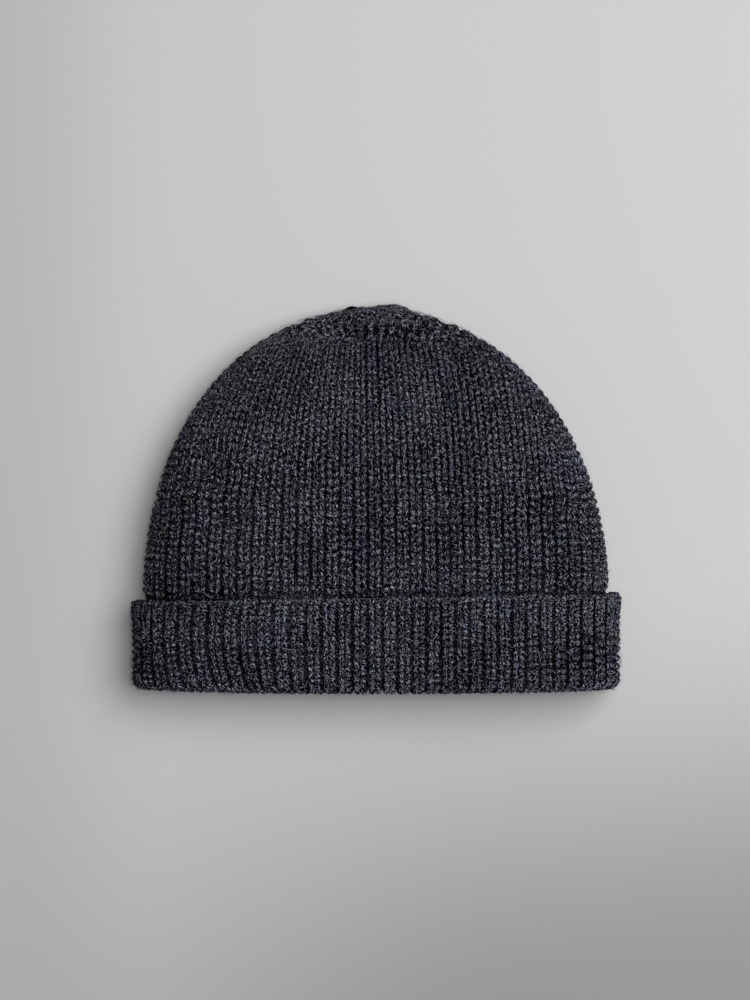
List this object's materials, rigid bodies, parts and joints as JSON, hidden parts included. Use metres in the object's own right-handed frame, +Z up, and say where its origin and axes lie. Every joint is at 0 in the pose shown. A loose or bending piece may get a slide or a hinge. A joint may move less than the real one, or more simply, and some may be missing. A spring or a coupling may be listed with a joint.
{
  "type": "knit watch cap",
  "caption": "Ribbed knit watch cap with a folded cuff and a gathered tip, hollow, lying flat on its back.",
  "frame": {"origin": "middle of the cap's bounding box on the surface that it lies on", "axes": "+X across the cap, +Y from the cuff to the gathered tip, +Z up through the front of the cap"},
  "size_m": [0.245, 0.195, 0.044],
  "materials": {
    "crown_knit": "dark charcoal heather wool, ribbed knit, matte with fine fuzz",
    "cuff_knit": "dark charcoal heather wool, ribbed knit turned up, matte with fine fuzz"
  },
  "bodies": {
    "root": {"crown": "crown_knit", "cuff": "cuff_knit"}
  },
  "joints": []
}
